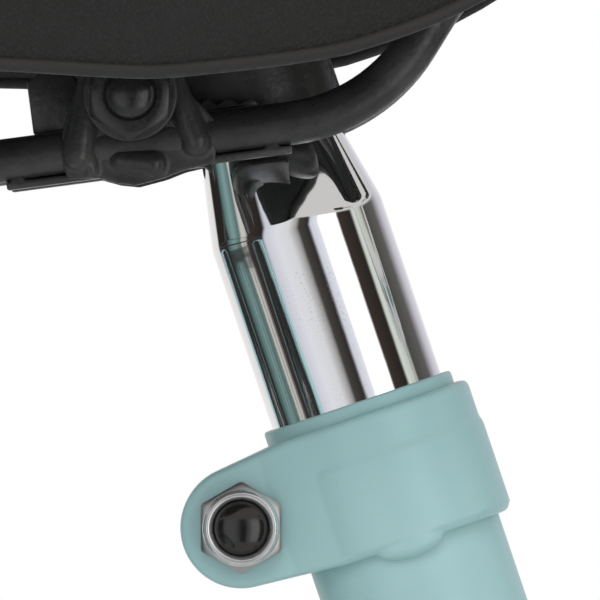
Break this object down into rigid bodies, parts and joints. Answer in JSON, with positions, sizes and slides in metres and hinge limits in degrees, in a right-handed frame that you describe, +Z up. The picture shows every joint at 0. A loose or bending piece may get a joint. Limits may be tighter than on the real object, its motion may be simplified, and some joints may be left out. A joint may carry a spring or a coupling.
{
  "type": "adult tricycle",
  "caption": "Step-through adult tricycle with a clamped chrome seat post, sprung saddle, chain drive and a wire basket behind the saddle.",
  "frame": {"origin": "on the ground under the middle of the tricycle, halfway between the front and rear axles", "axes": "+X forward, +Y to the rider's left, +Z up"},
  "size_m": [1.7958, 0.78, 1.012],
  "materials": {
    "frame_paint": "satin powder coat",
    "chrome": "polished chrome plate",
    "dark_steel": "black phosphated steel",
    "steel": "zinc plated",
    "saddle_cover": "matte textured vinyl",
    "saddle_base": "moulded polypropylene",
    "spring_steel": "polished",
    "tyre": "moulded rubber",
    "rim": "polished alloy",
    "spoke": "stainless wire",
    "grip": "soft textured rubber",
    "pedal": "moulded with grip ribs",
    "chain": "oiled steel",
    "basket_wire": "black dipped wire"
  },
  "bodies": {
    "frame": {"bottom_bracket_shell": "frame_paint", "seat_tube": "frame_paint", "head_tube": "frame_paint", "down_tube": "frame_paint", "step_tube": "frame_paint", "axle_carrier": "frame_paint", "axle_bearings": "steel", "rear_stays": "frame_paint", "crank_bearings": "steel", "headset_cups": "chrome", "seat_collar": "frame_paint", "collar_bolt": "dark_steel", "collar_nut": "chrome", "chain": "chain", "chain_guard": "frame_paint", "brake_band": "dark_steel", "rear_fenders": "frame_paint", "basket": "basket_wire", "basket_brackets": "dark_steel"},
    "front_fork": {"fork": "frame_paint", "steerer": "chrome", "front_axle": "steel", "front_fender": "frame_paint"},
    "handlebars": {"quill_stem": "chrome", "handlebar": "chrome", "grips": "grip", "lever_clamps": "dark_steel"},
    "left_lever": {"brake_lever_left": "dark_steel"},
    "right_lever": {"brake_lever_right": "dark_steel"},
    "left_brake_arm": {"front_brake_arm_left": "dark_steel"},
    "right_brake_arm": {"front_brake_arm_right": "dark_steel"},
    "front_wheel": {"front_tyre": "tyre", "front_rim": "rim", "front_hub": "steel", "front_spokes": "spoke"},
    "drive_axle": {"rear_axle": "steel", "brake_drum": "steel", "left_tyre": "tyre", "left_rim": "rim", "left_hub": "steel", "left_spokes": "spoke"},
    "right_wheel": {"right_tyre": "tyre", "right_rim": "rim", "right_hub": "steel", "right_spokes": "spoke"},
    "freewheel": {"freewheel_sprocket": "steel"},
    "crankset": {"crank_axle": "steel", "crank_arms": "chrome", "chainring": "chrome"},
    "left_pedal": {"pedal_left": "pedal"},
    "right_pedal": {"pedal_right": "pedal"},
    "band_arm": {"band_brake_arm": "dark_steel"},
    "post": {"seat_post": "chrome", "clamp_band": "dark_steel", "clamp_bolt": "dark_steel"},
    "clamp_jaws": {"saddle_clamp": "dark_steel"},
    "saddle": {"saddle_rails": "dark_steel", "saddle_base": "saddle_base", "saddle_cushion": "saddle_cover", "saddle_springs": "spring_steel"}
  },
  "joints": [
    {"name": "steering", "type": "hinge", "parent": "frame", "child": "front_fork", "pos_m": [0.55302, 0, 0.2809], "axis": [-0.342, 0, 0.9397], "range_deg": [-60, 60]},
    {"name": "stem_height", "type": "slide", "parent": "front_fork", "child": "handlebars", "axis": [-0.342, 0, 0.9397], "range_m": [0, 0.05]},
    {"name": "front_wheel_spin", "type": "hinge", "parent": "front_fork", "child": "front_wheel", "pos_m": [0.6, 0, 0.298], "axis": [0, 1, 0], "continuous": true},
    {"name": "rear_axle_spin", "type": "hinge", "parent": "frame", "child": "drive_axle", "pos_m": [-0.6, 0, 0.298], "axis": [0, 1, 0], "continuous": true},
    {"name": "right_wheel_spin", "type": "hinge", "parent": "drive_axle", "child": "right_wheel", "pos_m": [-0.6, -0.34, 0.298], "axis": [0, 1, 0], "continuous": true},
    {"name": "crank_spin", "type": "hinge", "parent": "frame", "child": "crankset", "pos_m": [0, 0, 0.29], "axis": [0, 1, 0], "continuous": true},
    {"name": "freewheel_spin", "type": "hinge", "parent": "frame", "child": "freewheel", "pos_m": [-0.6, 0, 0.298], "axis": [0, 1, 0], "continuous": true},
    {"name": "left_pedal_spin", "type": "hinge", "parent": "crankset", "child": "left_pedal", "pos_m": [-0.165, 0, 0.29], "axis": [0, 1, 0], "continuous": true},
    {"name": "right_pedal_spin", "type": "hinge", "parent": "crankset", "child": "right_pedal", "pos_m": [0.165, 0, 0.29], "axis": [0, 1, 0], "continuous": true},
    {"name": "left_lever_pull", "type": "hinge", "parent": "handlebars", "child": "left_lever", "pos_m": [0.37044, 0.27141, 0.9961], "axis": [0, 0, 1], "range_deg": [0, 14], "stiffness_Nm_per_rad": 2, "springref_deg": -2.86},
    {"name": "right_lever_pull", "type": "hinge", "parent": "handlebars", "child": "right_lever", "pos_m": [0.37044, -0.27141, 0.9961], "axis": [0, 0, -1], "range_deg": [0, 14], "stiffness_Nm_per_rad": 2, "springref_deg": -2.86},
    {"name": "left_arm_swing", "type": "hinge", "parent": "front_fork", "child": "left_brake_arm", "pos_m": [0.50024, 0.042, 0.499], "axis": [0.9397, 0, 0.342], "range_deg": [0, 1.5]},
    {"name": "right_arm_swing", "type": "hinge", "parent": "front_fork", "child": "right_brake_arm", "pos_m": [0.50024, -0.042, 0.499], "axis": [-0.9397, 0, -0.342], "range_deg": [0, 1.5]},
    {"name": "band_arm_swing", "type": "hinge", "parent": "frame", "child": "band_arm", "pos_m": [-0.657, 0.062, 0.29], "axis": [0, -1, 0], "range_deg": [0, 20]},
    {"name": "post_height", "type": "slide", "parent": "frame", "child": "post", "axis": [-0.3198, 0, 0.9475], "range_m": [-0.025, 0.15]},
    {"name": "saddle_tilt", "type": "hinge", "parent": "post", "child": "clamp_jaws", "pos_m": [-0.17716, 0, 0.75675], "axis": [0, 1, 0], "range_deg": [-12, 12]},
    {"name": "saddle_slide", "type": "slide", "parent": "clamp_jaws", "child": "saddle", "axis": [0.9914, 0, 0.1305], "range_m": [-0.001, 0.02]}
  ],
  "couplings": [
    {"joint": "freewheel_spin", "follows": "crank_spin", "ratio": 2},
    {"joint": "left_arm_swing", "follows": "left_lever_pull", "ratio": 0.10714},
    {"joint": "right_arm_swing", "follows": "left_lever_pull", "ratio": 0.10714},
    {"joint": "band_arm_swing", "follows": "right_lever_pull", "ratio": 1.4286}
  ]
}
